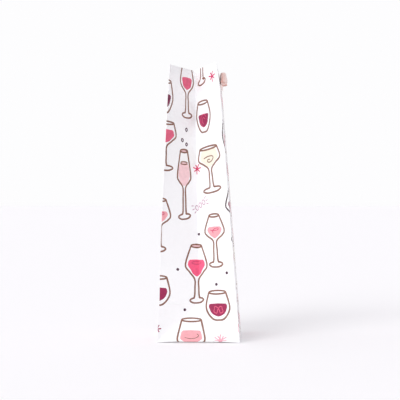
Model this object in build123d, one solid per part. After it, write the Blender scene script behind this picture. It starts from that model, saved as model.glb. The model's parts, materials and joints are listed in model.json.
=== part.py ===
from build123d import *
import os
from math import cos, radians, sin

# Wine gift bag, in millimetres. The origin is the centre of the base on the ground, +Z is up, the
# front panel faces -Y and the two pleated gussets face -X and +X.

# Driving dimensions of the bag
WIDTH = 121.0          # front panel, corner fold to corner fold
DEPTH = 102.0          # gusset, corner fold to corner fold on the base
FRONT_HEIGHT = 345.0   # up the front panel
BACK_HEIGHT = 342.0    # the back panel has settled a little lower
FRONT_LEAN = 4.5       # degrees from upright, towards the middle
BACK_LEAN = 2.7
PAPER = 0.3

# Where the pleat of a gusset runs: the crease junction near the base, and the dip in the rim
PLEAT_FOOT_INSET, PLEAT_FOOT_Y, PLEAT_FOOT_Z = 18.0, 0.0, 47.7
PLEAT_TOP_INSET, PLEAT_TOP_Y, PLEAT_TOP_Z = 42.0, 5.0, 339.0

FOLD_GAP = 0.3         # room left beside a fold so that the sheets can turn
PLEAT_GAP = 0.6        # the same, round the sheets of a gusset
CORNER_DEPTH = 0.4     # the gusset turns this far behind the outer face of a panel

# Turned-in rim, its stiffener cards and the loose card on the base
HEM = 32.0
HEM_SIDE_GAP = 11.0
TOP_CARD = 0.5
TOP_CARD_HEIGHT = 28.0
BASE_CARD = 0.8
BASE_CARD_GAP = 1.8
FLAP_GAP = 1.0
MAJOR_FLAP_REACH = 74.0
MINOR_FLAP_REACH = 45.0
SEAM_WIDTH, SEAM_EDGE = 14.0, 3.0
SEAM_FOOT, SEAM_TOP = 12.0, 8.0

# Satin bow tied through two punched holes in the front panel
HOLE_RADIUS = 3.0
HOLE_SPACING = 18.0
BOW_DROP = 17.0        # hole centres below the front rim
RIBBON_WIDTH = 12.0
RIBBON_THICKNESS = 0.5
STRAND_RADIUS = 2.2
TAIL_LENGTH = 32.0
TAIL_DROOP = 7.0
LOOP_LENGTH, LOOP_PROUD = 28.0, 8.5
KNOT_WIDTH, KNOT_HEIGHT, KNOT_PROUD = 9.0, 10.0, 9.0

SIDES = (("left", -1), ("right", 1))


def panel_plane(side, lean):
    """The outer face of a leaning panel: origin on its foot, x across, y up the slope, z outward."""
    tilt = radians(lean)
    return Plane(
        origin=(0, side * DEPTH / 2, 0),
        x_dir=(-side, 0, 0),
        z_dir=(0, side * cos(tilt), sin(tilt)),
    )


FRONT = panel_plane(-1, FRONT_LEAN)
BACK = panel_plane(1, BACK_LEAN)


def layer(plane, width, low, high, outer, thickness, shift=0.0):
    """A rectangle of sheet on a panel, from low to high up its slope, its outer face outer deep."""
    centre = Pos(shift, (low + high) / 2, -outer - thickness / 2)
    return plane.location * centre * Box(width, high - low, thickness)


def inset(corners, gap):
    """The corners of a flat outline, moved in by gap from every edge."""
    moved = []
    for index, corner in enumerate(corners):
        before = (corners[index - 1] - corner).normalized()
        after = (corners[(index + 1) % len(corners)] - corner).normalized()
        moved.append(corner + (before + after) * (gap / before.cross(after).length))
    return moved


def facet(corners, towards, gap=PLEAT_GAP):
    """A flat sheet inside these corners, gap short of its edges and PAPER thick towards a point."""
    normal = (corners[1] - corners[0]).cross(corners[2] - corners[0]).normalized()
    if normal.dot(towards - corners[0]) < 0:
        normal = -normal
    outline = Wire.make_polygon(inset(corners, gap), close=True)
    return Solid.extrude(Face(outline), normal * PAPER)


def box_on_floor(x_size, y_size, height, thickness, x=0.0, y=0.0):
    """A card or flap lying flat, its underside at height."""
    return Pos(x, y, height + thickness / 2) * Box(x_size, y_size, thickness)


def punched(sheet, plane):
    """The same sheet with the two ribbon holes through it."""
    for side in (-1, 1):
        spot = Pos(side * HOLE_SPACING / 2, FRONT_HEIGHT - BOW_DROP, 0)
        sheet = sheet - plane.location * spot * Cylinder(HOLE_RADIUS, 10)
    return sheet


def front_panel():
    """Outer front sheet, up to the rim fold."""
    return punched(layer(FRONT, WIDTH - 2 * FOLD_GAP, FOLD_GAP, FRONT_HEIGHT, 0, PAPER), FRONT)


def back_panel():
    """Outer back sheet, up to the rim fold."""
    return layer(BACK, WIDTH - 2 * FOLD_GAP, FOLD_GAP, BACK_HEIGHT, 0, PAPER)


def top_card(plane, height):
    """Stiffener card caught between a panel and its turned-in rim."""
    top = height - 0.5
    return layer(plane, WIDTH - 2 * HEM_SIDE_GAP, top - TOP_CARD_HEIGHT, top, PAPER, TOP_CARD)


def hem(plane, height):
    """Turned-in rim behind the stiffener card."""
    return layer(plane, WIDTH - 2 * HEM_SIDE_GAP, height - HEM, height, PAPER + TOP_CARD, PAPER)


def seam_flap():
    """Glue flap that closes the sheet into a tube, inside the back panel beside its corner fold."""
    shift = WIDTH / 2 - SEAM_WIDTH / 2 - SEAM_EDGE
    return layer(BACK, SEAM_WIDTH, SEAM_FOOT, BACK_HEIGHT - HEM - SEAM_TOP, PAPER, PAPER, shift)


def corner(sign, plane, height):
    """A point on a gusset's corner fold, just inside the panel, height up its slope."""
    return plane.from_local_coords(Vector(0, height, -CORNER_DEPTH)) + Vector(sign * WIDTH / 2, 0, 0)


def pleat_foot(sign):
    """The junction of the creases above the base of a gusset."""
    return Vector(sign * (WIDTH / 2 - PLEAT_FOOT_INSET), PLEAT_FOOT_Y, PLEAT_FOOT_Z)


def pleat_top(sign):
    """The point where the middle crease of a gusset meets the rim."""
    return Vector(sign * (WIDTH / 2 - PLEAT_TOP_INSET), PLEAT_TOP_Y, PLEAT_TOP_Z)


BAG_MIDDLE = Vector(0, 0, FRONT_HEIGHT / 2)


def gusset_leaf(sign, plane, height):
    """The part of a gusset that turns on a corner fold: a long triangle, widest at the rim."""
    corners = [corner(sign, plane, 0), corner(sign, plane, height), pleat_top(sign)]
    outside = Vector(sign * WIDTH, PLEAT_TOP_Y, FRONT_HEIGHT)
    return facet(corners, outside)


def gusset_web(sign, plane):
    """One face of the middle pleat, between a bottom corner and the middle crease."""
    corners = [corner(sign, plane, 0), pleat_foot(sign), pleat_top(sign)]
    return facet(corners, BAG_MIDDLE, FOLD_GAP)


def gusset_foot(sign):
    """The triangle at the base of a gusset, leaning in below the crease junction."""
    corners = [corner(sign, FRONT, 0), pleat_foot(sign), corner(sign, BACK, 0)]
    return facet(corners, BAG_MIDDLE)


def gusset_hem(sign, plane, height):
    """Turned-in rim of one half of a gusset."""
    rim = corner(sign, plane, height)
    fold = corner(sign, plane, 0)
    top = pleat_top(sign)
    share = HEM / height
    clear_of_corner = (top - rim).normalized() * HEM_SIDE_GAP
    corners = [
        rim + clear_of_corner,
        top,
        top + (fold - top) * share,
        rim + (fold - rim) * share + clear_of_corner,
    ]
    return facet(corners, plane.from_local_coords(Vector(0, height, 0)), 2 * PLEAT_GAP)


def base_flaps():
    """The four flaps glued to each other under the bag, from the ground up."""
    across = WIDTH - 2 * FLAP_GAP
    along = DEPTH - 2 * FLAP_GAP
    slide = (along - MAJOR_FLAP_REACH) / 2
    side_slide = (across - MINOR_FLAP_REACH) / 2
    return {
        "bottom_front_flap": box_on_floor(across, MAJOR_FLAP_REACH, 0, PAPER, y=-slide),
        "bottom_back_flap": box_on_floor(across, MAJOR_FLAP_REACH, PAPER, PAPER, y=slide),
        "bottom_left_flap": box_on_floor(MINOR_FLAP_REACH, along, 2 * PAPER, PAPER, x=-side_slide),
        "bottom_right_flap": box_on_floor(MINOR_FLAP_REACH, along, 2 * PAPER, PAPER, x=side_slide),
    }


def base_card():
    """Loose card that keeps the base flat."""
    return box_on_floor(WIDTH - 2 * BASE_CARD_GAP, DEPTH - 2 * BASE_CARD_GAP, 3 * PAPER, BASE_CARD)


def on_bow(part):
    """Places a part of the bow: x across, y up the panel and z outward from the bow's centre."""
    return FRONT.location * Pos(0, FRONT_HEIGHT - BOW_DROP, 0) * part


def ribbon_loop(sign):
    """Soft outer shape of one loop, its ribbon edge-on to the panel."""
    gap = 0.3
    length = LOOP_LENGTH - KNOT_WIDTH / 2 - gap
    middle = sign * (KNOT_WIDTH / 2 + gap + length / 2)
    profile = Rot(90, 0, 0) * RectangleRounded(length, LOOP_PROUD, LOOP_PROUD / 2 - 0.1)
    loop = extrude(profile, amount=RIBBON_WIDTH / 2, both=True)
    tail_room = 2 * RIBBON_THICKNESS
    return on_bow(Pos(middle, 0, LOOP_PROUD / 2 + tail_room) * loop)


def ribbon_knot():
    """The wrap that holds the bow in the middle."""
    wrap = fillet(Box(KNOT_WIDTH, KNOT_HEIGHT, KNOT_PROUD).edges(), 3)
    return on_bow(Pos(0, 0, KNOT_PROUD / 2 + RIBBON_THICKNESS) * wrap)


def ribbon_tail(sign):
    """A tail that lies on the panel behind its loop, drooping a little."""
    start = HOLE_SPACING / 2 + STRAND_RADIUS + 2.0
    tail = Pos(TAIL_LENGTH / 2, 0, 0) * Box(TAIL_LENGTH, RIBBON_WIDTH * 0.8, RIBBON_THICKNESS)
    turned = Rot(0, 0, -TAIL_DROOP) * tail
    if sign < 0:
        turned = mirror(turned, Plane.YZ)
    return on_bow(Pos(sign * start, 0, RIBBON_THICKNESS / 2 + 0.1) * turned)


def ribbon_inner_strand():
    """The ribbon behind the turned-in rim, with a leg out through each hole."""
    behind = PAPER + TOP_CARD + PAPER
    leg_length = behind + 2 * RIBBON_THICKNESS + RIBBON_THICKNESS
    bridge_width = HOLE_SPACING + 2 * STRAND_RADIUS
    strand = Pos(0, 0, -behind - RIBBON_THICKNESS) * Box(
        bridge_width, 2 * STRAND_RADIUS, 2 * RIBBON_THICKNESS
    )
    for side in (-1, 1):
        foot = Pos(side * HOLE_SPACING / 2, 0, -behind - RIBBON_THICKNESS)
        leg = Cylinder(STRAND_RADIUS, leg_length, align=(Align.CENTER, Align.CENTER, Align.MIN))
        strand = strand + foot * leg
    return on_bow(strand)


def parts():
    """Every sub-part by name."""
    made = {
        "front_panel": front_panel(),
        "front_top_card": punched(top_card(FRONT, FRONT_HEIGHT), FRONT),
        "front_hem": punched(hem(FRONT, FRONT_HEIGHT), FRONT),
        "back_panel": back_panel(),
        "back_top_card": top_card(BACK, BACK_HEIGHT),
        "back_hem": hem(BACK, BACK_HEIGHT),
        "side_seam_flap": seam_flap(),
        "base_card": base_card(),
        "ribbon_knot": ribbon_knot(),
        "ribbon_inner_strand": ribbon_inner_strand(),
        **base_flaps(),
    }
    for side, sign in SIDES:
        made[f"{side}_gusset_foot"] = gusset_foot(sign)
        made[f"ribbon_{side}_loop"] = ribbon_loop(sign)
        made[f"ribbon_{side}_tail"] = ribbon_tail(sign)
        for name, plane, height in (("front", FRONT, FRONT_HEIGHT), ("back", BACK, BACK_HEIGHT)):
            made[f"{side}_gusset_{name}_leaf"] = gusset_leaf(sign, plane, height)
            made[f"{side}_gusset_{name}_web"] = gusset_web(sign, plane)
            made[f"{side}_gusset_{name}_hem"] = gusset_hem(sign, plane, height)
    return made


def main():
    """Writes one STEP file per sub-part."""
    os.makedirs("parts", exist_ok=True)
    for name, shape in parts().items():
        export_step(shape, f"parts/{name}.step")


main()
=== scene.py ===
import json
from math import atan2, copysign, cos, pi, radians, sin

import bpy
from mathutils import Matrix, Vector, noise
from mathutils.geometry import delaunay_2d_cdt


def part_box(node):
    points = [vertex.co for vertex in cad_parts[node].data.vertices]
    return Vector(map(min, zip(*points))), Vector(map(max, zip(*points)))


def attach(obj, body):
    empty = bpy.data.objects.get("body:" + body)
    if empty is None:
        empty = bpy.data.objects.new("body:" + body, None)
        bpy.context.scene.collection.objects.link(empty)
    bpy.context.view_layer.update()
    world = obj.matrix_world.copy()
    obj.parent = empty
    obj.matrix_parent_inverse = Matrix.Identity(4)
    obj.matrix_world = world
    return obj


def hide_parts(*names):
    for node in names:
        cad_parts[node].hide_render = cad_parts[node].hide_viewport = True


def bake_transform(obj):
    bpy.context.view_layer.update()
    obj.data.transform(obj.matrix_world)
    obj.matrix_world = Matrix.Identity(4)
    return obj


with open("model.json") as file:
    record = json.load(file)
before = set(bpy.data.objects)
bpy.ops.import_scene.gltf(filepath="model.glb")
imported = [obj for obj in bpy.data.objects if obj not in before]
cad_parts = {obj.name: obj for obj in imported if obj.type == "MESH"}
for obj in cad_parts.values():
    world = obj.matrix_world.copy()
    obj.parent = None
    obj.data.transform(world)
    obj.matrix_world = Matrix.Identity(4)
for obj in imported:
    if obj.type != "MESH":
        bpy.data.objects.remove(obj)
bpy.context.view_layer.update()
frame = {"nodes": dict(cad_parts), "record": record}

# Lengths below are in millimetres; times MM they are the metres that Blender takes.
MM = 0.001
JOINTS = {joint["name"]: joint for joint in frame["record"]["behaviour"]["joints"]}

# The bag's outline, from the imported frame
HALF_WIDTH = JOINTS["right_pleat_swing"]["pos_m"][0] / MM
HALF_DEPTH = JOINTS["back_panel_swing"]["pos_m"][1] / MM
WIDTH, DEPTH = 2 * HALF_WIDTH, 2 * HALF_DEPTH
FRONT_TOP_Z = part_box("front_panel")[1].z / MM
FRONT_TOP_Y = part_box("front_panel")[1].y / MM
PAPER = 0.3
FRONT_LEAN = atan2(HALF_DEPTH + FRONT_TOP_Y - PAPER, FRONT_TOP_Z)
HEIGHT = FRONT_TOP_Z / cos(FRONT_LEAN)

# The camera comes first
EYE_HEIGHT = 174.8
EYE_DISTANCE = 1310.0
EYE_TURN = radians(2.7)  # round towards the front panel
AIM_Y = -2.0
LENS_MM = 96.4


def add_camera():
    """Looks level at the left gusset, with a sliver of the front panel in view."""
    camera = bpy.data.objects.new("camera", bpy.data.cameras.new("camera"))
    bpy.context.scene.collection.objects.link(camera)
    camera.data.lens = LENS_MM
    camera.data.sensor_width = 36
    aim = Vector((-HALF_WIDTH, AIM_Y, EYE_HEIGHT))
    away = Vector((-cos(EYE_TURN), -sin(EYE_TURN), 0)) * EYE_DISTANCE
    camera.location = (aim + away) * MM
    camera.rotation_euler = (-away).to_track_quat("-Z", "Y").to_euler()
    bpy.context.scene.camera = camera


add_camera()


# ---------------------------------------------------------------- materials

def new_material(name, colour, roughness, coat=0.0, sheen=0.0):
    """A Principled material with its plain values set on the shader's own sockets."""
    material = bpy.data.materials.new(name)
    material.use_nodes = True
    shader = material.node_tree.nodes["Principled BSDF"]
    shader.inputs["Base Color"].default_value = (*colour, 1)
    shader.inputs["Roughness"].default_value = roughness
    shader.inputs["Coat Weight"].default_value = coat
    shader.inputs["Sheen Weight"].default_value = sheen
    return material


def add_noise(material, scale, detail=4.0, stretch=(1, 1, 1)):
    """A noise texture over the object's own coordinates."""
    nodes, links = material.node_tree.nodes, material.node_tree.links
    place = nodes.new("ShaderNodeTexCoord")
    mapping = nodes.new("ShaderNodeMapping")
    mapping.inputs["Scale"].default_value = stretch
    texture = nodes.new("ShaderNodeTexNoise")
    texture.inputs["Scale"].default_value = scale
    texture.inputs["Detail"].default_value = detail
    links.new(place.outputs["Object"], mapping.inputs["Vector"])
    links.new(mapping.outputs["Vector"], texture.inputs["Vector"])
    return texture


def vary_colour(material, texture, low, high):
    """Base colour runs from low to high with the texture."""
    nodes, links = material.node_tree.nodes, material.node_tree.links
    ramp = nodes.new("ShaderNodeValToRGB")
    ramp.color_ramp.elements[0].position = 0.35
    ramp.color_ramp.elements[0].color = (*low, 1)
    ramp.color_ramp.elements[1].position = 0.65
    ramp.color_ramp.elements[1].color = (*high, 1)
    links.new(texture.outputs["Fac"], ramp.inputs["Fac"])
    links.new(ramp.outputs["Color"], nodes["Principled BSDF"].inputs["Base Color"])


def vary_roughness(material, texture, low, high):
    """Roughness runs from low to high with the texture."""
    nodes, links = material.node_tree.nodes, material.node_tree.links
    spread = nodes.new("ShaderNodeMapRange")
    spread.inputs["To Min"].default_value = low
    spread.inputs["To Max"].default_value = high
    links.new(texture.outputs["Fac"], spread.inputs["Value"])
    links.new(spread.outputs["Result"], nodes["Principled BSDF"].inputs["Roughness"])


def add_bump(material, texture, strength, distance):
    """Relief from the texture's height, distance in metres."""
    nodes, links = material.node_tree.nodes, material.node_tree.links
    bump = nodes.new("ShaderNodeBump")
    bump.inputs["Strength"].default_value = strength
    bump.inputs["Distance"].default_value = distance
    links.new(texture.outputs["Fac"], bump.inputs["Height"])
    links.new(bump.outputs["Normal"], nodes["Principled BSDF"].inputs["Normal"])


def srgb(red, green, blue):
    """A screen colour, 0 to 255, as the linear colour that shaders take."""
    def linear(value):
        share = value / 255
        return share / 12.92 if share <= 0.04045 else ((share + 0.055) / 1.055) ** 2.4
    return tuple(linear(value) for value in (red, green, blue))


def scaled(colour, factor):
    """The colour, brighter or darker."""
    return tuple(min(1.0, channel * factor) for channel in colour)


def coated_paper(name, colour, variation):
    """Smooth coated paper or the ink on it: a faint sheen, fine fibre relief, uneven ink."""
    material = new_material(name, colour, 0.42, coat=0.08)
    blotches = add_noise(material, 260, 3)
    vary_colour(material, blotches, scaled(colour, 1 - variation), scaled(colour, 1 + variation))
    vary_roughness(material, blotches, 0.38, 0.5)
    add_bump(material, add_noise(material, 2600, 5), 0.12, 0.00004)
    return material


def uncoated_paper():
    """The plain back of the sheet, with visible fibres."""
    colour = srgb(244, 242, 240)
    material = new_material("uncoated_paper", colour, 0.85)
    fibres = add_noise(material, 900, 8, (1, 1, 0.35))
    vary_colour(material, fibres, scaled(colour, 0.94), colour)
    add_bump(material, fibres, 0.25, 0.0001)
    return material


def white_board():
    """Stiffener board: off-white, with specks of recycled fibre."""
    colour = srgb(226, 222, 214)
    material = new_material("white_board", colour, 0.8)
    specks = add_noise(material, 1500, 10)
    vary_colour(material, specks, scaled(colour, 0.8), colour)
    add_bump(material, specks, 0.3, 0.00015)
    return material


def satin():
    """Satin ribbon: close threads along its length, a soft sheen."""
    material = new_material("satin_ribbon", srgb(254, 222, 214), 0.34, sheen=0.4)
    threads = add_noise(material, 500, 3, (0.25, 1, 9))
    vary_colour(material, threads, srgb(254, 216, 206), srgb(255, 230, 223))
    vary_roughness(material, threads, 0.28, 0.42)
    add_bump(material, threads, 0.2, 0.00006)
    return material


# Each ink: its colour, and how much that varies
INKS = {
    "paper": (srgb(252, 252, 253), 0.008),
    "outline": (srgb(138, 96, 80), 0.14),
    "rose": (srgb(226, 92, 126), 0.08),
    "hot_pink": (srgb(246, 92, 132), 0.06),
    "magenta": (srgb(156, 24, 78), 0.12),
    "maroon": (srgb(118, 12, 66), 0.15),
    "pale_pink": (srgb(240, 168, 184), 0.05),
    "pale_rose": (srgb(242, 168, 176), 0.05),
    "charcoal": (srgb(74, 58, 64), 0.1),
    "mauve": (srgb(190, 142, 166), 0.06),
    "blush": (srgb(248, 208, 212), 0.04),
    "cream": (srgb(246, 240, 222), 0.02),
    "plum": (srgb(72, 34, 56), 0.1),
    "deep_pink": (srgb(212, 70, 112), 0.08),
}
INK_ORDER = list(INKS)
INK_MATERIALS = [coated_paper(f"print_{name}", *INKS[name]) for name in INK_ORDER]
UNCOATED = uncoated_paper()
BOARD = white_board()
SATIN = satin()


# ---------------------------------------------------------------- the print, on the flat sheet
# A shape is (outline, ink): a closed outline in the sheet's millimetres, u to the right as seen
# from outside and v up from the bottom fold. Later shapes lie over earlier ones.

LINE = 2.1  # outline width
THIN_LINE = 1.0
HOLE = "hole"
REPEAT = WIDTH + DEPTH  # the design repeats every half turn round the bag
PANEL_MIDDLE = HALF_DEPTH + HALF_WIDTH  # from a gusset's middle crease to the front panel's middle


def smooth_curve(points, closed=False, step=2.0):
    """A Catmull-Rom curve through the points, sampled about every step."""
    count = len(points)
    last = count if closed else count - 1
    curve = []
    for index in range(last):
        ahead = [points[(index + k) % count] if closed else points[min(max(index + k, 0), count - 1)]
                 for k in (-1, 0, 1, 2)]
        a, b, c, d = (Vector(point) for point in ahead)
        pieces = max(2, round((c - b).length / step))
        for piece in range(pieces):
            t = piece / pieces
            curve.append(0.5 * (2 * b + (c - a) * t + (2 * a - 5 * b + 4 * c - d) * t * t
                                + (3 * b - a - 3 * c + d) * t ** 3))
    if not closed:
        curve.append(Vector(points[-1]))
    return curve


def doubled_area(outline):
    """Twice the outline's area, positive when it runs anticlockwise."""
    return sum(a.cross(b) for a, b in zip(outline, outline[1:] + outline[:1]))


def is_convex(quad):
    """True when the quad's corners all turn the same way."""
    sides = [quad[(k + 1) % 4] - quad[k] for k in range(4)]
    turns = [side.cross(sides[(k + 1) % 4]) for k, side in enumerate(sides)]
    return min(turns) > 0 or max(turns) < 0


def stroke(points, ink="outline", width=LINE, closed=False):
    """A pen line through the points, as a chain of short quads, slightly uneven."""
    curve = smooth_curve(points, closed)
    count = len(curve)
    sides = []
    for index, point in enumerate(curve):
        before = curve[index - 1] if index or closed else point
        after = curve[(index + 1) % count] if index < count - 1 or closed else point
        along = (after - before).normalized()
        pressure = 1 + 0.16 * noise.noise((point.x * 0.09, point.y * 0.09, 3.0))
        across = Vector((-along.y, along.x)) * (width * pressure / 2)
        sides.append((point + across, point - across))
    shapes = []
    for index in range(count if closed else count - 1):
        near, far = sides[index], sides[(index + 1) % count]
        quad = [near[0], near[1], far[1], far[0]]
        if is_convex(quad):
            shapes.append((quad, ink))
    if not closed:
        shapes += [disc(end, width / 2, ink) for end in (curve[0], curve[-1])]
    return shapes


def disc(centre, radius, ink, sides=8):
    """A small filled circle."""
    centre = Vector(centre)
    outline = [centre + radius * Vector((cos(2 * pi * k / sides), sin(2 * pi * k / sides)))
               for k in range(sides)]
    return outline, ink


def ellipse(centre, half_width, half_height, count=14):
    """Points round an ellipse."""
    return [(centre[0] + half_width * cos(2 * pi * k / count),
             centre[1] + half_height * sin(2 * pi * k / count)) for k in range(count)]


def moved(shapes, u, v, tilt=0.0):
    """The shapes turned by tilt degrees about their origin, anticlockwise, then put at (u, v)."""
    turn_cos, turn_sin = cos(radians(tilt)), sin(radians(tilt))
    return [([Vector((u + p[0] * turn_cos - p[1] * turn_sin, v + p[0] * turn_sin + p[1] * turn_cos))
              for p in outline], ink) for outline, ink in shapes]


def blended_width(profile, height):
    """Half width at a height, from (half width, height) points low to high."""
    for (near, low), (far, high) in zip(profile, profile[1:]):
        if height <= high:
            share = min(max((height - low) / (high - low), 0.0), 1.0)
            eased = share * share * (3 - 2 * share)
            return near + (far - near) * (0.5 * share + 0.5 * eased)
    return profile[-1][0]


def wine_fill(profile, low, high, ink, margin, tip, bend):
    """Wine between two heights, a margin inside the glass, with a round foot and soft top corners."""
    steps = 16
    right = []
    for step in range(steps + 1):
        height = low + (high - low) * (step / steps) ** 1.4
        wide = max(blended_width(profile, height) - margin, tip)
        under = min(max(0.0, 1 - (height - low) / bend), 1.0)
        over = max(0.0, 1 - (high - height) / 1.8)
        wide *= (1 - under ** 2) ** 0.5
        right.append((max(wide - 1.3 * over ** 2, 0.3), height))
    left = [(-u, v) for u, v in reversed(right)]
    return [(right + [(0, high + 0.5)] + left, ink)]


def ring_mark(wide, surface, ink, drop, width):
    """An oval on the wine's surface."""
    return stroke(ellipse((0, surface - drop), wide, 1.7), ink, width, closed=True)


def quill_mark(wide, surface):
    """A flattened loop with a tail, like a feather."""
    path = [(-0.625, -3.6), (-0.35, -4.6), (0.0, -4.5), (0.4125, -4.1), (0.65, -2.8), (0.55, -1.8),
            (0.125, -2.0), (-0.2125, -3.6), (-0.3375, -4.9), (-0.2375, -7.4)]
    return stroke([(u * wide, surface + v) for u, v in path], "deep_pink", THIN_LINE)


def smile_mark(wide, surface):
    """A shallow curve turned up at its right end."""
    path = [(-0.66, -9.4), (0.05, -11.0), (0.6, -9.2), (0.8, -6.4), (0.62, -4.4)]
    return stroke([(u * wide, surface + v) for u, v in path], "outline", 0.9)


def scribble_mark(wide, surface):
    """Two loops of scribble."""
    marks = []
    for middle, spin in ((-0.26, 1), (0.3, -1)):
        path = [(middle * wide + spin * (2.6 + 0.7 * (-1) ** k) * cos(0.75 * k + 0.6),
                 surface - 7.5 + 4.2 * sin(0.75 * k + 0.6)) for k in range(9)]
        marks += stroke(path, "rose", THIN_LINE)
    return marks


def arcs_mark(wide, surface):
    """Two nested arcs."""
    marks = []
    for size in (0.26, 0.58):
        path = [(size * wide * cos(0.5 * k), surface - 8 + 1.4 * size * wide * sin(0.5 * k))
                for k in range(1, 10)]
        marks += stroke(path, "rose", THIN_LINE * 0.7)
    return marks


def swirl_mark(wide, surface):
    """A pen swirl across a full bowl."""
    path = [(-0.7, -9.6), (-0.2, -8.2), (0.4, -8.4), (0.56, -10.8), (0.3, -14.6), (-0.1, -15.6),
            (-0.28, -13.4), (-0.14, -11.8), (0.06, -12.2)]
    return stroke([(u * wide, surface + v) for u, v in path], "outline", 1.35)


MARKS = {"quill": quill_mark, "smile": smile_mark, "scribble": scribble_mark, "arcs": arcs_mark,
         "swirl": swirl_mark}


def wine_mark(style, wide, surface):
    """The pen mark on the wine, wide being the wine's half width at its surface."""
    if style == "ring":
        return ring_mark(wide * 0.84, surface, "outline", 0.2, 1.7)
    if style == "deep_ring":
        return ring_mark(wide * 0.62, surface, "deep_pink", 3.8, THIN_LINE)
    return MARKS[style](wide, surface) if style in MARKS else []


def foot(half_width, stem_half, tilt, ink):
    """The flat foot of a stemmed glass, seen a little from above."""
    right = [(stem_half * 1.25, 3.3), (half_width * 0.8, 2.3), (half_width, 0.2),
             (half_width * 0.62, -2.5)]
    left = [(-u, v) for u, v in reversed(right)]
    return moved(stroke(right + [(0, -3.1)] + left, ink), 0, 0, tilt)


def stem_glass(foot_half, bowl_from, widest, rim, wine="", fill=(), mark="", rim_fill="", stem_half=2.8,
               foot_tilt=0.0, belly=0.56, bend=3.6, margin=3.0, ink="outline"):
    """A stemmed glass standing on the origin. widest and rim are (half width, height)."""
    middle = (stem_half + (widest[0] - stem_half) * belly, (bowl_from + widest[1]) * 0.5)
    profile = [(stem_half, bowl_from), middle, widest, rim]
    shapes = []
    if wine:
        shapes += wine_fill(profile, *fill, wine, margin, tip=3.0, bend=bend)
        shapes += wine_mark(mark, blended_width(profile, fill[1]) - margin, fill[1])
    lip = ellipse((0, rim[1]), rim[0], 1.9)
    if rim_fill:
        shapes.append((lip, rim_fill))
    shapes += stroke(lip, ink, closed=True)
    for side in (-1, 1):
        leg = [(side * stem_half * 1.3, 3.4), (side * stem_half, 7.5),
               (side * stem_half * 0.92, bowl_from * 0.6)]
        bowl = [(side * wide, height) for wide, height in profile]
        shapes += stroke(leg + bowl, ink)
    return shapes + foot(foot_half, stem_half, foot_tilt, ink)


def tumbler(widest, rim, wine, fill, mark="", ink="outline"):
    """A stemless glass standing on the origin. widest and rim are (half width, height)."""
    low_side = (widest[0] * 0.82, widest[1] * 0.42)
    profile = [(widest[0] * 0.42, 0.0), low_side, widest, rim]
    shapes = wine_fill(profile, *fill, wine, 3.4, tip=3.0, bend=0.45 * (fill[1] - fill[0]))
    shapes += wine_mark(mark, blended_width(profile, fill[1]) - 3.4, fill[1])
    shapes += stroke(ellipse((0, rim[1]), rim[0], 2.2), ink, closed=True)
    right = [(wide, height) for wide, height in profile]
    left = [(-wide, height) for wide, height in reversed(profile)]
    return shapes + stroke(left + [(0, -1.0)] + right, ink)


def sparkle(radius, ink, first=0, last=360, rays=7, width=1.5):
    """Hand-drawn rays round a small heart, from angle first to last."""
    shapes = [disc((0, 0), radius * 0.3, ink)]
    for ray in range(rays + 1):
        angle = radians(first + (last - first) * ray / rays)
        reach = radius * (1.0 if ray % 2 else 0.84)
        bend = 0.06 * radius * (-1) ** ray
        shapes += stroke([(0, 0), (reach * cos(angle) * 0.6 + bend, reach * sin(angle) * 0.6),
                          (reach * cos(angle), reach * sin(angle))], ink, width)
    return shapes


def bubble(size):
    """A small open diamond."""
    return stroke([(0, size), (size * 0.72, 0), (0, -size), (-size * 0.72, 0)], "plum", 1.6, True)


def pop_burst():
    """A cork's burst: three small rings between short dashes."""
    shapes = []
    for step in (-1, 0, 1):
        shapes += stroke(ellipse((6.2 * step, 0.5 * step), 2.2, 3.2, 8), "mauve", THIN_LINE, True)
    for end in (-1, 1):
        for spread in (-22, 0, 22):
            angle = radians(spread)
            near, far = 10.5, 13.2
            shapes += stroke([(end * near * cos(angle), near * sin(angle)),
                              (end * far * cos(angle), far * sin(angle))], "mauve", THIN_LINE)
    return shapes


def dot():
    """A plum dot."""
    return [disc((0, 0), 1.9, "plum")]


def loop(half_width, half_height):
    """A pink hand-drawn ring."""
    return stroke(ellipse((0, 0), half_width, half_height), "pale_pink", 1.3, True)


# The glasses of the design: stemmed ones first, then tumblers
TULIP = dict(foot_half=8.5, bowl_from=28.0, widest=(12.6, 46.0), rim=(8.2, 66.0), wine="rose",
             fill=(32.5, 48.0), stem_half=2.6, belly=0.8, bend=6.0)
GOBLET = dict(foot_half=13.5, bowl_from=27.0, widest=(17.2, 41.0), rim=(13.0, 56.0), wine="rose",
              fill=(31.5, 47.5))
WHITE = dict(foot_half=14.5, bowl_from=26.5, widest=(19.0, 39.6), rim=(15.2, 53.0), wine="cream",
             fill=(28.5, 50.5), mark="swirl", foot_tilt=2.0, belly=0.46)
FLUTE = dict(foot_half=8.4, bowl_from=36.5, widest=(10.2, 52.0), rim=(5.7, 82.5), wine="blush",
             fill=(38.5, 67.5), mark="ring", rim_fill="blush", stem_half=2.1, foot_tilt=9.0,
             margin=1.4, belly=0.7)
ROUND = dict(foot_half=9.6, bowl_from=29.5, widest=(14.8, 43.0), rim=(7.8, 61.0), wine="pale_rose",
             fill=(32.4, 46.8), mark="quill", belly=0.72, bend=8.0, margin=3.8)
ANGULAR = dict(foot_half=9.0, bowl_from=26.5, widest=(14.9, 44.5), rim=(7.4, 68.2), wine="hot_pink",
               fill=(30.0, 50.8), mark="deep_ring", rim_fill="blush", foot_tilt=5.0)
TUMBLER = dict(widest=(15.8, 16.0), rim=(11.6, 33.4), wine="magenta", fill=(3.4, 19.2))
SMALL_TUMBLER = dict(widest=(13.2, 21.5), rim=(9.6, 36.5), wine="magenta", fill=(5.0, 21.5))
NARROW_TUMBLER = dict(widest=(12.4, 19.0), rim=(8.0, 37.5), wine="maroon", fill=(5.0, 21.5))
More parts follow.
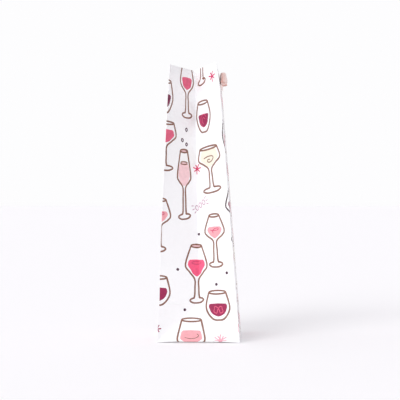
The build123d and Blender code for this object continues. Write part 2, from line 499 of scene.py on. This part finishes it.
TALL_TUMBLER = dict(widest=(17.0, 10.5), rim=(12.0, 34.5), wine="pale_rose", fill=(3.0, 21.0),
                    mark="smile")


def gusset_print():
    """The motifs whose middle lies on a gusset or its back fold, u from its middle crease."""
    placed = [
        (stem_glass(**TULIP), -15.6, 285.9, 0),
        (tumbler(**NARROW_TUMBLER), -54, 286.3, 0),
        (stem_glass(**GOBLET), -51.1, 217.0, 0),
        (bubble(2.2), -16.6, 267.6, 0),
        (bubble(2.2), -23.4, 253.9, 20),
        (bubble(2.0), -16.5, 249.1, -10),
        (stem_glass(**{**ROUND, "foot_half": 8, "stem_half": 2.7, "foot_tilt": 22}), 15.2, 327.6, -7),
        (sparkle(6.2, "deep_pink"), 37.5, 330.0, 15),
        (tumbler(mark="arcs", **SMALL_TUMBLER), 15.8, 265.1, 1.5),
        (stem_glass(**FLUTE), -18.9, 157.9, 1.2),
        (sparkle(6.2, "deep_pink"), 0.5, 219.1, 10),
        (stem_glass(**WHITE), 25.2, 190.4, 4),
        (pop_burst(), 4.5, 173.0, 27),
        (stem_glass(**ROUND), -53.6, 116.1, 0),
        (stem_glass(**ROUND), 25.5, 97.4, 0),
        (dot(), 1.2, 136.6, 0),
        (dot(), -27.7, 91.6, 0),
        (dot(), 40.1, 86.5, 0),
        (dot(), 24.6, 72.9, 0),
        (dot(), -17.9, 41.5, 0),
        (stem_glass(**ANGULAR), -2.7, 53.5, 0),
        (tumbler(**{**TUMBLER, "fill": (4.0, 20.5)}), -53.4, 47.5, 0),
        (tumbler(mark="scribble", **TUMBLER), 25.2, 29.7, 0),
        (sparkle(5.4, "magenta"), -52.6, 16.7, 8),
        (tumbler(**TALL_TUMBLER), -9, -5.6, 0),
        (sparkle(8.4, "pale_pink", 8, 172, 6, 1.2), 27, 1.7, 0),
        (loop(3.4, 6.0), 53.5, 18.1, 0),
    ]
    return [shape for shapes, u, v, tilt in placed for shape in moved(shapes, u, v, tilt)]


def panel_print():
    """The motifs whose middle lies on the front or back panel, u from the panel's middle."""
    placed = [
        (tumbler(**{**SMALL_TUMBLER, "wine": "rose", "ink": "charcoal"}), -50.6, 235.5, -3),
        (stem_glass(**{**ROUND, "wine": "maroon", "ink": "charcoal"}), -51.2, 127, 0),
        (stem_glass(**FLUTE), -25.5, 252, 3),
        (sparkle(6, "deep_pink"), -50, 302, 0),
        (stem_glass(**GOBLET), 9, 260, 0),
        (tumbler(**TALL_TUMBLER), 40, 327, -6),
        (bubble(2.3), -45, 333, 10),
        (bubble(2.0), -37, 342, -15),
        (dot(), 33, 296, 0),
        (sparkle(5.6, "deep_pink"), 31, 250, 0),
        (tumbler(mark="arcs", **SMALL_TUMBLER), -22, 201, 6),
        (pop_burst(), -4, 246.5, 24),
        (stem_glass(**ANGULAR), 8, 169, 0),
        (tumbler(**{**SMALL_TUMBLER, "wine": "pale_rose", "mark": "smile"}), 38.5, 176, 0),
        (stem_glass(**{**ROUND, "wine": "rose"}), -20, 126, -3),
        (dot(), 32, 222, 0),
        (dot(), -41, 214, 0),
        (stem_glass(**TULIP), 9, 91, 3),
        (stem_glass(**FLUTE), 33, 90, 1),
        (stem_glass(**{**WHITE, "foot_tilt": -4.0}), -21, 66, -3),
        (sparkle(5.8, "deep_pink"), -50, 104, 20),
        (dot(), 22, 80, 0),
        (bubble(2.2), 36, 76, 0),
        (tumbler(mark="scribble", **TUMBLER), -36, 18, 0),
        (stem_glass(**{**ROUND, "mark": ""}), 5, 8, 0),
        (tumbler(**{**TUMBLER, "wine": "hot_pink"}), 36, 7, 2),
        (dot(), -48, 66, 0),
        (dot(), 24, 56, 0),
        (sparkle(8, "pale_pink", 8, 172, 6, 1.1), -10, 1.4, 0),
    ]
    return [shape for shapes, u, v, tilt in placed for shape in moved(shapes, u, v, tilt)]


def whole_print():
    """Both lists on the unrolled sheet, u from the left gusset's middle crease."""
    return gusset_print() + moved(panel_print(), PANEL_MIDDLE, 0)


PRINT = whole_print()


def print_between(low, high, shift):
    """The shapes that reach between low and high on the unrolled sheet, moved by -shift."""
    found = []
    for turn in (-1, 0, 1):
        offset = turn * REPEAT
        for outline, ink in PRINT:
            across = [point.x + offset for point in outline]
            if max(across) > low and min(across) < high:
                found.append(([Vector((u - shift, point.y)) for u, point in zip(across, outline)], ink))
    return found


# ---------------------------------------------------------------- the folded sheet's surfaces
# Each surface takes the sheet's (u, v) and gives a place in millimetres in the row frame.

CREASE_HEIGHT = HALF_DEPTH  # the creases of a gusset meet this far up the sheet
FOOT_LEAN = radians(20.7)  # the triangle at the foot of a gusset
PLEAT_TOP_INSET, PLEAT_TOP_Z = 42.0, 337.6
PLEAT_SWAY = 7.0  # the middle crease ends this far towards the back
PLEAT_FOOT_INSET = CREASE_HEIGHT * sin(FOOT_LEAN)
PLEAT_FOOT_Z = CREASE_HEIGHT * cos(FOOT_LEAN)
CURL_START, CURL_DEPTH = 308.0, 2.4  # the front panel's rim curls back above this
BACK_LINE = [(0, 51.0), (45, 48.2), (110, 46.8), (212, 42.4), (345, 35.6)]  # (up the sheet, y)
BACK_TOP_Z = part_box("back_panel")[1].z / MM - 0.8
FOLD_RADIUS, FOLD_INSET = 1.6, 0.4
FOOT_RADIUS = 1.2
FOOT_LIFT, LIFT_HEIGHT = 1.3, 16.0  # between its corners the foot of each side clears the floor
BASE_HOLLOW = 1.6  # the sheet dips between the triangle and the level crease
PRESSED_DEPTH, PRESSED_WIDTH = 0.5, 2.5  # the crease line pressed into the sheet


def smooth_step(value):
    """0 below 0, 1 above 1, smooth between."""
    t = min(max(value, 0.0), 1.0)
    return t * t * (3 - 2 * t)


def interpolate(points, at):
    """A smooth value through (place, value) points."""
    for index in range(len(points) - 1):
        (low, near), (high, far) = points[index], points[index + 1]
        if at <= high or index == len(points) - 2:
            before = points[max(index - 1, 0)]
            after = points[min(index + 2, len(points) - 1)]
            span = high - low
            rise_near = (far - before[1]) / (high - before[0]) * span
            rise_far = (after[1] - near) / (after[0] - low) * span
            t = (at - low) / span
            return ((2 * t ** 3 - 3 * t ** 2 + 1) * near + (t ** 3 - 2 * t ** 2 + t) * rise_near
                    + (3 * t ** 2 - 2 * t ** 3) * far + (t ** 3 - t ** 2) * rise_far)


def front_line(v):
    """(y, z) of the front panel's corner folds, v up the sheet."""
    curl = CURL_DEPTH * max(0.0, (v - CURL_START) / (HEIGHT - CURL_START)) ** 2
    return -HALF_DEPTH + v * sin(FRONT_LEAN) + curl, v * cos(FRONT_LEAN)


def back_line(v):
    """(y, z) of the back panel's corner folds, v up the sheet."""
    return interpolate(BACK_LINE, v), v * BACK_TOP_Z / HEIGHT


def bulge(across, v, depth):
    """A panel's gentle swell, nothing at its folds and at its foot."""
    middle = 1 - across * across
    return depth * middle * sin(pi * min(v / HEIGHT, 1)) * (0.7 + 0.3 * sin(v / 41))


def lift(share, v):
    """How far the foot of a side stands off the floor, share from -1 to 1 between its corners."""
    return FOOT_LIFT * (1 - share ** 8) * max(0.0, 1 - v / LIFT_HEIGHT) ** 2


def underside(v):
    """How far the sheet has drawn in where it rounds under into the base."""
    below = min(max(0.0, 1 - v / FOOT_RADIUS), 1.0)
    return FOOT_RADIUS * (1 - (1 - below ** 2) ** 0.5)


def fold_rounding(from_fold):
    """How far the sheet draws in beside a corner fold."""
    return FOLD_INSET * max(0.0, 1 - from_fold / FOLD_RADIUS) ** 2


def front_surface(u, v):
    """The front panel's outer face."""
    y, z = front_line(v)
    across = u / HALF_WIDTH
    rounding = fold_rounding(HALF_WIDTH - abs(u))
    return Vector((u, y + rounding + underside(v) - bulge(across, v, 0.9), z + lift(across, v)))


def back_surface(u, v):
    """The back panel's outer face."""
    y, z = back_line(v)
    across = u / HALF_WIDTH
    rounding = fold_rounding(HALF_WIDTH - abs(u))
    return Vector((-u, y - rounding - underside(v) + bulge(across, v, 1.1), z + lift(across, v)))


def middle_crease(v):
    """(inset, y, z) of the middle crease of a gusset above its foot."""
    share = (v - CREASE_HEIGHT) / (HEIGHT - CREASE_HEIGHT)
    inset = PLEAT_FOOT_INSET + (PLEAT_TOP_INSET - PLEAT_FOOT_INSET) * share
    z = PLEAT_FOOT_Z + (PLEAT_TOP_Z - PLEAT_FOOT_Z) * share
    return Vector((inset, PLEAT_SWAY * share ** 1.3, z))


def gusset_point(w, v):
    """(inset, y, z) on a gusset, w from the middle crease, positive towards the front."""
    side = -1 if w > 0 else 1
    fold = Vector((0, *(front_line(v) if w > 0 else back_line(v))))
    if v < CREASE_HEIGHT:
        inner = CREASE_HEIGHT - v
        start = Vector((v * sin(FOOT_LEAN), side * inner, v * cos(FOOT_LEAN)))
        if abs(w) <= inner:
            return Vector((start.x + underside(v), side * abs(w), start.z + lift(w / HALF_DEPTH, v)))
        share = (abs(w) - inner) / max(HALF_DEPTH - inner, 1e-6)
        start.x += BASE_HOLLOW * sin(pi * share) * (abs(w) / HALF_DEPTH)
    else:
        start = middle_crease(v)
        share = abs(w) / HALF_DEPTH
    point = start.lerp(fold, share)
    swell = sin(pi * share) * smooth_step((v - 20) / 60)
    point.x += swell * (0.5 * sin(v / 37 + side) + 0.35 * sin(v / 17))
    groove = PRESSED_DEPTH * max(0.0, 1 - abs(v - CREASE_HEIGHT) / PRESSED_WIDTH) * (abs(w) / HALF_DEPTH)
    point.x += groove + underside(v)
    point.z += lift(w / HALF_DEPTH, v)
    point.y -= side * fold_rounding(HALF_DEPTH - abs(w))
    return point


def gusset_surface(sign):
    """The outer face of the gusset at -X or +X."""
    def place(u, v):
        inset, y, z = gusset_point(-sign * u, v)
        return Vector((sign * (HALF_WIDTH - inset), y, z))
    return place


def inward(surface, u, v):
    """The unit vector into the bag at a place on a surface."""
    step = 0.25
    right = surface(u + step, v) - surface(u - step, v)
    up = surface(u, v + step) - surface(u, v - step)
    return up.cross(right).normalized()


def turned_over(surface, height, radius):
    """The surface with the sheet above height turned over the rim and down inside."""
    arc = pi * radius

    def place(u, v):
        if v <= height:
            return surface(u, v)
        past = v - height
        rim_in = inward(surface, u, height - 0.3)
        if past < arc:
            angle = past / radius
            rim = surface(u, height)
            up = (rim - surface(u, height - 0.5)).normalized()
            return rim + up * (radius * sin(angle)) + rim_in * (radius * (1 - cos(angle)))
        down = height - (past - arc)
        return surface(u, down) + inward(surface, u, min(down, height - 0.3)) * (2 * radius)
    return place


def set_in(surface, depth):
    """The surface, depth further into the bag."""
    return lambda u, v: surface(u, v) + inward(surface, u, v) * depth


# ---------------------------------------------------------------- sheets as meshes

GRID = 4.0  # the size of a sheet's mesh away from its print
EDGE_STEP = 2.0
FOOT_STEPS = (0.12, 0.35, 0.65, 1.0)  # cuts up the round foot, in shares of its radius


def dense_outline(corners):
    """The closed outline with points about every EDGE_STEP."""
    points = []
    for index, corner in enumerate(corners):
        start, end = Vector(corner), Vector(corners[(index + 1) % len(corners)])
        pieces = max(1, round((end - start).length / EDGE_STEP))
        points += [start.lerp(end, piece / pieces) for piece in range(pieces)]
    return points


def flat_mesh(corners, shapes, creases, rows=()):
    """Triangles of a flat sheet, each with the ink on top of it. rows are extra heights to cut at."""
    outline = dense_outline(corners)
    points = list(outline)
    faces = [list(range(len(outline)))]
    edges = []
    inks = [None]
    for shape, ink in shapes:
        ring = [Vector(point) for point in shape]
        if doubled_area(ring) < 0:
            ring.reverse()
        faces.append(list(range(len(points), len(points) + len(ring))))
        points += ring
        inks.append(ink)
    low_u, high_u = min(c[0] for c in corners), max(c[0] for c in corners)
    low_v, high_v = min(c[1] for c in corners), max(c[1] for c in corners)
    foot_rows = [FOOT_RADIUS * share for share in FOOT_STEPS] if low_v == 0 else []
    for start, end in list(creases) + [((low_u, row), (high_u, row)) for row in [*rows, *foot_rows]]:
        edges.append((len(points), len(points) + 1))
        points += [Vector(start), Vector(end)]
    columns = max(2, round((high_u - low_u) / GRID))
    lines = max(2, round((high_v - low_v) / GRID))
    for column in range(1, columns):
        for line in range(1, lines):
            points.append(Vector((low_u + (high_u - low_u) * column / columns,
                                  low_v + (high_v - low_v) * line / lines)))
    made, _, triangles, _, _, origins = delaunay_2d_cdt(points, edges, faces, 0, 1e-4, True)
    kept = []
    for triangle, origin in zip(triangles, origins):
        if 0 not in origin:
            continue
        if HOLE in (inks[index] for index in origin):
            continue
        kept.append((triangle, inks[max(origin)] or "paper"))
    return made, kept


def link(name, mesh):
    """A new object for the mesh."""
    obj = bpy.data.objects.new(name, mesh)
    bpy.context.scene.collection.objects.link(obj)
    return obj


def apply_modifiers(obj):
    """Replaces the mesh by the one its modifiers make."""
    evaluated = obj.evaluated_get(bpy.context.evaluated_depsgraph_get())
    mesh = bpy.data.meshes.new_from_object(evaluated)
    obj.modifiers.clear()
    obj.data = mesh


def make_sheet(name, surface, corners, shapes=(), creases=(), rows=(), thickness=PAPER, faces=None,
               back=None):
    """A thin closed sheet: outer face on the surface, thickness into the bag."""
    points, triangles = flat_mesh(corners, shapes, creases, rows)
    used = sorted({index for triangle, _ in triangles for index in triangle})
    renumber = {old: new for new, old in enumerate(used)}
    places = [surface(points[index].x, points[index].y) * MM for index in used]
    mesh = bpy.data.meshes.new(name)
    mesh.from_pydata(places, [], [[renumber[i] for i in triangle] for triangle, _ in triangles])
    front = faces or INK_MATERIALS
    for material in front:
        mesh.materials.append(material)
    mesh.materials.append(back or UNCOATED)
    for polygon, (_, ink) in zip(mesh.polygons, triangles):
        polygon.material_index = 0 if faces else INK_ORDER.index(ink)
        polygon.use_smooth = True
    obj = link(name, mesh)
    solid = obj.modifiers.new("thickness", "SOLIDIFY")
    solid.thickness = thickness * MM
    solid.offset = -1
    solid.material_offset = len(front)
    solid.material_offset_rim = 0
    apply_modifiers(obj)
    obj.data.set_sharp_from_angle(angle=radians(38))
    return obj


HEM = 32.0  # the turned-in rim
CARD = 0.5
PANEL_TURN = (PAPER + CARD + PAPER) / 2 - 0.05  # radius of the rim fold round the stiffener card
GUSSET_TURN = 0.34
CORNER_TRIM = 4.5  # the turned-in rim is trimmed beside the corner folds
BOW_DROP, HOLE_SPACING, HOLE_RADIUS = 17.0, 18.0, 3.0
CARD_INSET = 11.0  # from a corner fold to the stiffener card
CARD_HIGH, CARD_LOW = 0.5, 28.5  # the card's edges, down from the rim
SEAM_WIDTH, SEAM_INSET, SEAM_SLANT = 14.0, 3.0, 3.0
SEAM_LOW, SEAM_GAP = 12.0, 8.0  # the glue flap's foot, and its gap below the turned-in rim


def rim_rows(radius):
    """Cuts across the sheet that let its rim fold be round."""
    arc = pi * radius
    return [HEIGHT + arc * step / 6 for step in range(7)]


def panel_corners(radius):
    """Outline of a panel with its turned-in rim."""
    top = HEIGHT + pi * radius
    inner = HALF_WIDTH - CORNER_TRIM
    right = [(HALF_WIDTH, 0), (HALF_WIDTH, HEIGHT), (inner, top), (inner, top + HEM)]
    return right + [(-u, v) for u, v in reversed(right)]


def ribbon_holes(radius):
    """The punched holes, through the panel and through its turned-in rim."""
    heights = (HEIGHT - BOW_DROP, HEIGHT + pi * radius + BOW_DROP)
    return [disc((side * HOLE_SPACING / 2, height), HOLE_RADIUS, HOLE, 20)
            for side in (-1, 1) for height in heights]


def add_panel(face, surface, middle, holes):
    """A front or back panel with its rim, printed all over."""
    shapes = print_between(middle - HALF_WIDTH, middle + HALF_WIDTH, middle)
    if holes:
        shapes += ribbon_holes(PANEL_TURN)
    sheet = make_sheet(f"{face}_sheet", turned_over(surface, HEIGHT, PANEL_TURN), panel_corners(PANEL_TURN),
                       shapes, rows=rim_rows(PANEL_TURN))
    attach(sheet, f"{face}_panel")
    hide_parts(f"{face}_panel", f"{face}_hem")


def gusset_corners(near, far):
    """Outline of half a gusset with its turned-in rim, from the middle crease to the corner fold."""
    top = HEIGHT + pi * GUSSET_TURN
    trim = CORNER_TRIM if far > near else -CORNER_TRIM
    corners = [(near, 0), (far, 0), (far, HEIGHT), (far - trim, top), (far - trim, top + HEM),
               (near, top + HEM)]
    return corners if far > near else list(reversed(corners))


def add_gusset_half(side, sign, face, middle):
    """Half of a gusset, from its middle crease to one corner fold."""
    surface = gusset_surface(sign)
    towards_front = face == "front"
    far = HALF_DEPTH * (-sign if towards_front else sign)
    low, high = sorted((0.0, far))
    shapes = print_between(middle + low, middle + high, middle)
    creases = [((far, 0), (0, CREASE_HEIGHT))]
    for offset in (-PRESSED_WIDTH, 0, PRESSED_WIDTH):
        creases.append(((far, CREASE_HEIGHT + offset), (0, CREASE_HEIGHT + offset)))
    sheet = make_sheet(f"{side}_gusset_{face}_half", turned_over(surface, HEIGHT, GUSSET_TURN),
                       gusset_corners(0.0, far), shapes, creases, rim_rows(GUSSET_TURN))
    line = front_line if towards_front else back_line
    fold_foot, fold_top = Vector((0, *line(0))), Vector((0, *line(HEIGHT)))
    crease_top = middle_crease(HEIGHT)
    crease_top.x = 0
    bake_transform(sheet)
    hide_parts(f"{side}_gusset_{face}_leaf", f"{side}_gusset_{face}_web",
                f"{side}_gusset_{face}_hem")
    return sheet


def add_top_card(face, surface, holes):
    """The stiffener board between a panel and its turned-in rim."""
    side, low, high = HALF_WIDTH - CARD_INSET, HEIGHT - CARD_LOW, HEIGHT - CARD_HIGH
    corners = [(-side, low), (side, low), (side, high), (-side, high)]
    shapes = ribbon_holes(PANEL_TURN) if holes else []
    card = make_sheet(f"{face}_top_card_board", set_in(surface, PAPER + 0.02), corners, shapes,
                      thickness=CARD - 0.15, faces=[BOARD], back=BOARD)
    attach(card, f"{face}_panel")
    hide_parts(f"{face}_top_card")


def add_seam_flap():
    """The glue flap inside the back panel, beside its corner fold."""
    low, high = SEAM_LOW, HEIGHT - HEM - SEAM_GAP
    outer = HALF_WIDTH - SEAM_INSET
    inner = outer - SEAM_WIDTH
    corners = [(inner, low), (outer, low + SEAM_SLANT), (outer, high - SEAM_SLANT), (inner, high)]
    flap = make_sheet("side_seam_flap_sheet", set_in(back_surface, PAPER + 0.03), corners,
                      faces=[UNCOATED])
    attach(flap, "back_panel")
    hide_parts("side_seam_flap")


BASE_ROLL, ROLL_RISE = 16.0, 0.25  # a base flap curves down to the floor over this width
END_FLAP, SIDE_FLAP = 74.0, 45.0  # how far the base flaps reach in
FLAP_TRIM = 1.6  # a flap stops this far short of the corners at its fold,
FLAP_INSET, FLAP_SLANT = 3.0, 12.0  # and narrows to this over its first millimetres
FLAP_CLEARANCE = 0.05


def base_surface(half_length, place):
    """A base flap's underside, u along its fold and v in from it, curving down to the floor."""
    def flap_place(u, v):
        share = min(abs(u) / half_length, 1.0)
        rise = (lift(share, 0) + ROLL_RISE) * max(0.0, 1 - v / BASE_ROLL) ** 2
        return place(u, v, rise)
    return flap_place


def add_base_flap(name, half_length, reach, level, place, material):
    """A glued base flap, its underside level millimetres up; place turns (u, v, z) into the row frame."""
    foot, inner = half_length - FLAP_TRIM, half_length - FLAP_INSET
    corners = [(-foot, 0), (foot, 0), (inner, FLAP_SLANT), (inner, reach), (-inner, reach),
               (-inner, FLAP_SLANT)]
    surface = base_surface(half_length, lambda u, v, rise: place(u, v + FOOT_RADIUS, level + rise))
    flap = make_sheet(f"{name}_sheet", surface, corners, faces=[material])
    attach(flap, "base")
    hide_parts(name)


def add_base():
    """The four glued base flaps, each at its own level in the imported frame."""
    printed = INK_MATERIALS[0]
    flaps = {
        "front": (HALF_WIDTH, END_FLAP, printed, lambda u, v, z: Vector((-u, -HALF_DEPTH + v, z))),
        "back": (HALF_WIDTH, END_FLAP, printed, lambda u, v, z: Vector((u, HALF_DEPTH - v, z))),
        "left": (HALF_DEPTH, SIDE_FLAP, UNCOATED, lambda u, v, z: Vector((-HALF_WIDTH + v, u, z))),
        "right": (HALF_DEPTH, SIDE_FLAP, UNCOATED, lambda u, v, z: Vector((HALF_WIDTH - v, -u, z))),
    }
    for face, (half_length, reach, material, place) in flaps.items():
        name = f"bottom_{face}_flap"
        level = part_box(name)[0].z / MM + FLAP_CLEARANCE
        add_base_flap(name, half_length, reach, level, place, material)


def add_bag():
    """Every sheet of the bag."""
    add_base()
    add_panel("front", front_surface, PANEL_MIDDLE, holes=True)
    add_panel("back", back_surface, -PANEL_MIDDLE, holes=False)
    for side, sign, middle in (("left", -1, 0.0), ("right", 1, REPEAT)):
        halves = [add_gusset_half(side, sign, face, middle) for face in ("front", "back")]
        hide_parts(f"{side}_gusset_foot")
    add_top_card("front", front_surface, holes=True)
    add_top_card("back", back_surface, holes=False)
    add_seam_flap()


# ---------------------------------------------------------------- the bow

RIBBON = 12.0
RIBBON_THICK = 0.35
GATHERED = 6.0  # the ribbon's width where it goes into the knot


def bow_place(x, up, out):
    """A place on the bow: x across, up the panel, out from it, from the middle between the holes."""
    foot = front_surface(0, HEIGHT - BOW_DROP)
    y_axis = Vector((0, sin(FRONT_LEAN), cos(FRONT_LEAN)))
    z_axis = Vector((0, -cos(FRONT_LEAN), sin(FRONT_LEAN)))
    return foot + Vector((x, 0, 0)) + y_axis * up + z_axis * out


def grid_mesh(name, rows, closed=False):
    """A mesh through rows of places in millimetres."""
    columns = len(rows[0])
    mesh = bpy.data.meshes.new(name)
    faces = []
    for row in range(len(rows) - 1):
        for column in range(columns if closed else columns - 1):
            after = (column + 1) % columns
            faces.append((row * columns + column, row * columns + after,
                          (row + 1) * columns + after, (row + 1) * columns + column))
    mesh.from_pydata([place * MM for row in rows for place in row], [], faces)
    for polygon in mesh.polygons:
        polygon.use_smooth = True
    mesh.materials.append(SATIN)
    return link(name, mesh)


def finish_ribbon(obj, node, thickness=RIBBON_THICK):
    """Gives a ribbon cut to this length its thickness and ties it to the front panel."""
    solid = obj.modifiers.new("thickness", "SOLIDIFY")
    solid.thickness = thickness * MM
    solid.offset = 0
    smoother = obj.modifiers.new("smooth", "SUBSURF")
    smoother.levels = 1
    apply_modifiers(obj)
    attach(obj, "front_panel")
    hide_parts(node)


LOOP_PATH = [(2.5, 2.4), (8, 1.6), (16, 1.2), (21, 1.5), (25.2, 3.3), (25.4, 6.3), (21.0, 8.4),
             (13.5, 8.8), (7.5, 7.4), (2.5, 5.8)]     # (across, out)
LOOP_RISE = radians(3)
LOOP_SPAN = 27.0  # where the gathers have opened out
TAIL_START, TAIL_END, TAIL_NOTCH = 4.5, 45.5, 4.5
TAIL_DROOP = radians(4.5)
TAIL_SPRING = 2.0  # how far a tail's end springs off the panel
KNOT_HALF_LENGTH, KNOT_HIGH, KNOT_OUT = 4.4, 5.0, 4.2
KNOT_MIDDLE = 5.0  # out from the panel
KNOT_WRAP, KNOT_THICK = 28.0, 0.7


def add_loop(side, sign):
    """A hollow loop, gathered at the knot and open at its outer end."""
    path = smooth_curve(LOOP_PATH, step=1.4)
    total = len(path) - 1
    rows = []
    for index, point in enumerate(path):
        before, after = path[max(index - 1, 0)], path[min(index + 1, total)]
        along = (after - before).normalized()
        normal = Vector((-along.y, along.x))
        reach = min(point.x / LOOP_SPAN, 1.0)
        half = 0.5 * (GATHERED + (RIBBON + 0.4 - GATHERED) * smooth_step(reach * 1.25))
        gather = 0.75 * (1 - smooth_step(reach * 1.1)) + 0.12
        lean = 1.3 * (index / total - 0.5) * reach
        row = []
        for step in range(15):
            across = step / 7 - 1
            fold = gather * cos(3.2 * pi * across + 0.8) + 0.9 * across * across * reach
            along_loop, up_loop = point.x + normal.x * fold, across * half + lean
            row.append(bow_place(sign * (along_loop * cos(LOOP_RISE) - up_loop * sin(LOOP_RISE)),
                                 along_loop * sin(LOOP_RISE) + up_loop * cos(LOOP_RISE),
                                 max(point.y + normal.y * fold, 0.9)))
        rows.append(row)
    loop_mesh = grid_mesh(f"ribbon_{side}_loop_satin", rows)
    finish_ribbon(loop_mesh, f"ribbon_{side}_loop")


def add_tail(side, sign):
    """A tail behind its loop that springs off the panel at its end, which is cut in a swallowtail."""
    rows = []
    steps = 28
    for index in range(steps + 1):
        share = index / steps
        half = 0.5 * (GATHERED + (RIBBON - GATHERED) * smooth_step(share * 2.2))
        ripple = 0.35 * (1 - share)
        row = []
        for step in range(13):
            across = step / 6 - 1
            reach = TAIL_START + (TAIL_END - TAIL_START - TAIL_NOTCH * (1 - abs(across))) * share
            spring = TAIL_SPRING * smooth_step((reach - 24) / 22) + 0.6 * share * sin(2.4 * across)
            out = 0.45 + 0.2 * (1 + ripple * cos(3 * pi * across)) + spring
            drop = across * half
            row.append(bow_place(sign * (reach * cos(TAIL_DROOP) + drop * sin(TAIL_DROOP)),
                                 drop * cos(TAIL_DROOP) - reach * sin(TAIL_DROOP), out))
        rows.append(row)
    tail = grid_mesh(f"ribbon_{side}_tail_satin", rows)
    finish_ribbon(tail, f"ribbon_{side}_tail")


def squarer(value):
    """A sine or cosine pushed outwards, which squares off the circle they make."""
    return copysign(abs(value) ** 0.8, value)


def add_knot():
    """The wrap in the middle, pleated where the ribbon is pulled tight."""
    rows = []
    for index in range(15):
        share = index / 7 - 1
        pinch = 1 - 0.16 * share * share
        cap = max((1 - abs(share) ** 6) ** 0.5, 0.72)
        row = []
        for step in range(36):
            angle = 2 * pi * step / 36
            pleat = 1 + 0.035 * cos(5 * share * pi + 2 * sin(angle))
            size = pinch * cap * pleat
            row.append(bow_place(KNOT_HALF_LENGTH * share, KNOT_HIGH * size * squarer(cos(angle)),
                                 KNOT_MIDDLE + KNOT_OUT * size * squarer(sin(angle))))
        rows.append(row)
    wrap = grid_mesh("ribbon_knot_satin", rows, closed=True)
    finish_ribbon(wrap, "ribbon_knot", KNOT_THICK)


def add_bow():
    """The knot with its loops and tails."""
    add_knot()
    for side, sign in (("left", -1), ("right", 1)):
        add_loop(side, sign)
        add_tail(side, sign)


def paint_frame_nodes():
    """Better materials for the CAD pieces that stay: the base card and the inner strand."""
    looks = {"base_card": BOARD, "ribbon_inner_strand": SATIN}
    for name, material in looks.items():
        node = frame["nodes"][name]
        if not node.material_slots:
            node.data.materials.append(material)
        for slot in node.material_slots:
            slot.material = material


# ---------------------------------------------------------------- studio

FLOOR_HALF_M = 30.0


def add_floor():
    """A plain pale floor that reaches far behind the bag."""
    far = FLOOR_HALF_M
    mesh = bpy.data.meshes.new("studio_floor")
    mesh.from_pydata([(-far, -far, 0), (far, -far, 0), (far, far, 0), (-far, far, 0)], [], [(0, 1, 2, 3)])
    floor = link("studio_floor", mesh)
    material = new_material("studio_floor", srgb(253, 252, 254), 0.7)
    grain = add_noise(material, 3, 2)
    vary_roughness(material, grain, 0.65, 0.75)
    mesh.materials.append(material)


BRIGHT_SIDE = (0.985, 0.982, 0.992)
DIM_SIDE = (0.28, 0.27, 0.29)
CEILING = (0.87, 0.86, 0.88)
TOWARDS_BRIGHT = (0.25, 0.433, 0)  # half a unit vector, so that its dot product spans one
SIDE_BLEND = (0.1, 0.68)  # where the walls' colour starts and ends its change
CEILING_BLEND = (0.2, 0.55)
KEY_DIRECTION = (-0.73, 0.495, 0.47)  # from the bag towards the light
KEY_STRENGTH = 1.1
KEY_SPREAD = radians(34)


def blend_by(tree, value, span, low, high):
    """A colour that eases from low to high as value runs over the span."""
    ramp = tree.nodes.new("ShaderNodeValToRGB")
    ramp.color_ramp.interpolation = "EASE"
    ramp.color_ramp.elements[0].position = span[0]
    ramp.color_ramp.elements[0].color = (*low, 1)
    ramp.color_ramp.elements[1].position = span[1]
    ramp.color_ramp.elements[1].color = (*high, 1)
    tree.links.new(value, ramp.inputs["Fac"])
    return ramp.outputs["Color"]


def add_surround():
    """The room: white behind the bag, dim before its front panel, pale overhead."""
    world = bpy.data.worlds.new("studio")
    bpy.context.scene.world = world
    world.use_nodes = True
    tree = world.node_tree
    direction = tree.nodes.new("ShaderNodeTexCoord").outputs["Generated"]
    split = tree.nodes.new("ShaderNodeSeparateXYZ")
    tree.links.new(direction, split.inputs["Vector"])
    sideways = tree.nodes.new("ShaderNodeVectorMath")
    sideways.operation = "DOT_PRODUCT"
    sideways.inputs[1].default_value = TOWARDS_BRIGHT
    tree.links.new(direction, sideways.inputs[0])
    share = tree.nodes.new("ShaderNodeMath")
    share.inputs[1].default_value = 0.5
    tree.links.new(sideways.outputs["Value"], share.inputs[0])
    around = blend_by(tree, share.outputs["Value"], SIDE_BLEND, DIM_SIDE, BRIGHT_SIDE)
    overhead = blend_by(tree, split.outputs["Z"], CEILING_BLEND, (0, 0, 0), (1, 1, 1))
    mix = tree.nodes.new("ShaderNodeMixRGB")
    mix.inputs["Color2"].default_value = (*CEILING, 1)
    tree.links.new(overhead, mix.inputs["Fac"])
    tree.links.new(around, mix.inputs["Color1"])
    tree.links.new(mix.outputs["Color"], tree.nodes["Background"].inputs["Color"])


def add_lights():
    """A large soft key from the camera's side, towards the bag's back, in the plain room."""
    add_surround()
    data = bpy.data.lights.new("key", "SUN")
    data.energy = KEY_STRENGTH
    data.angle = KEY_SPREAD
    key = bpy.data.objects.new("key", data)
    bpy.context.scene.collection.objects.link(key)
    key.rotation_euler = Vector(KEY_DIRECTION).to_track_quat("Z", "Y").to_euler()
    bpy.context.scene.view_settings.view_transform = "Standard"


add_bag()
add_bow()
paint_frame_nodes()
add_floor()
add_lights()
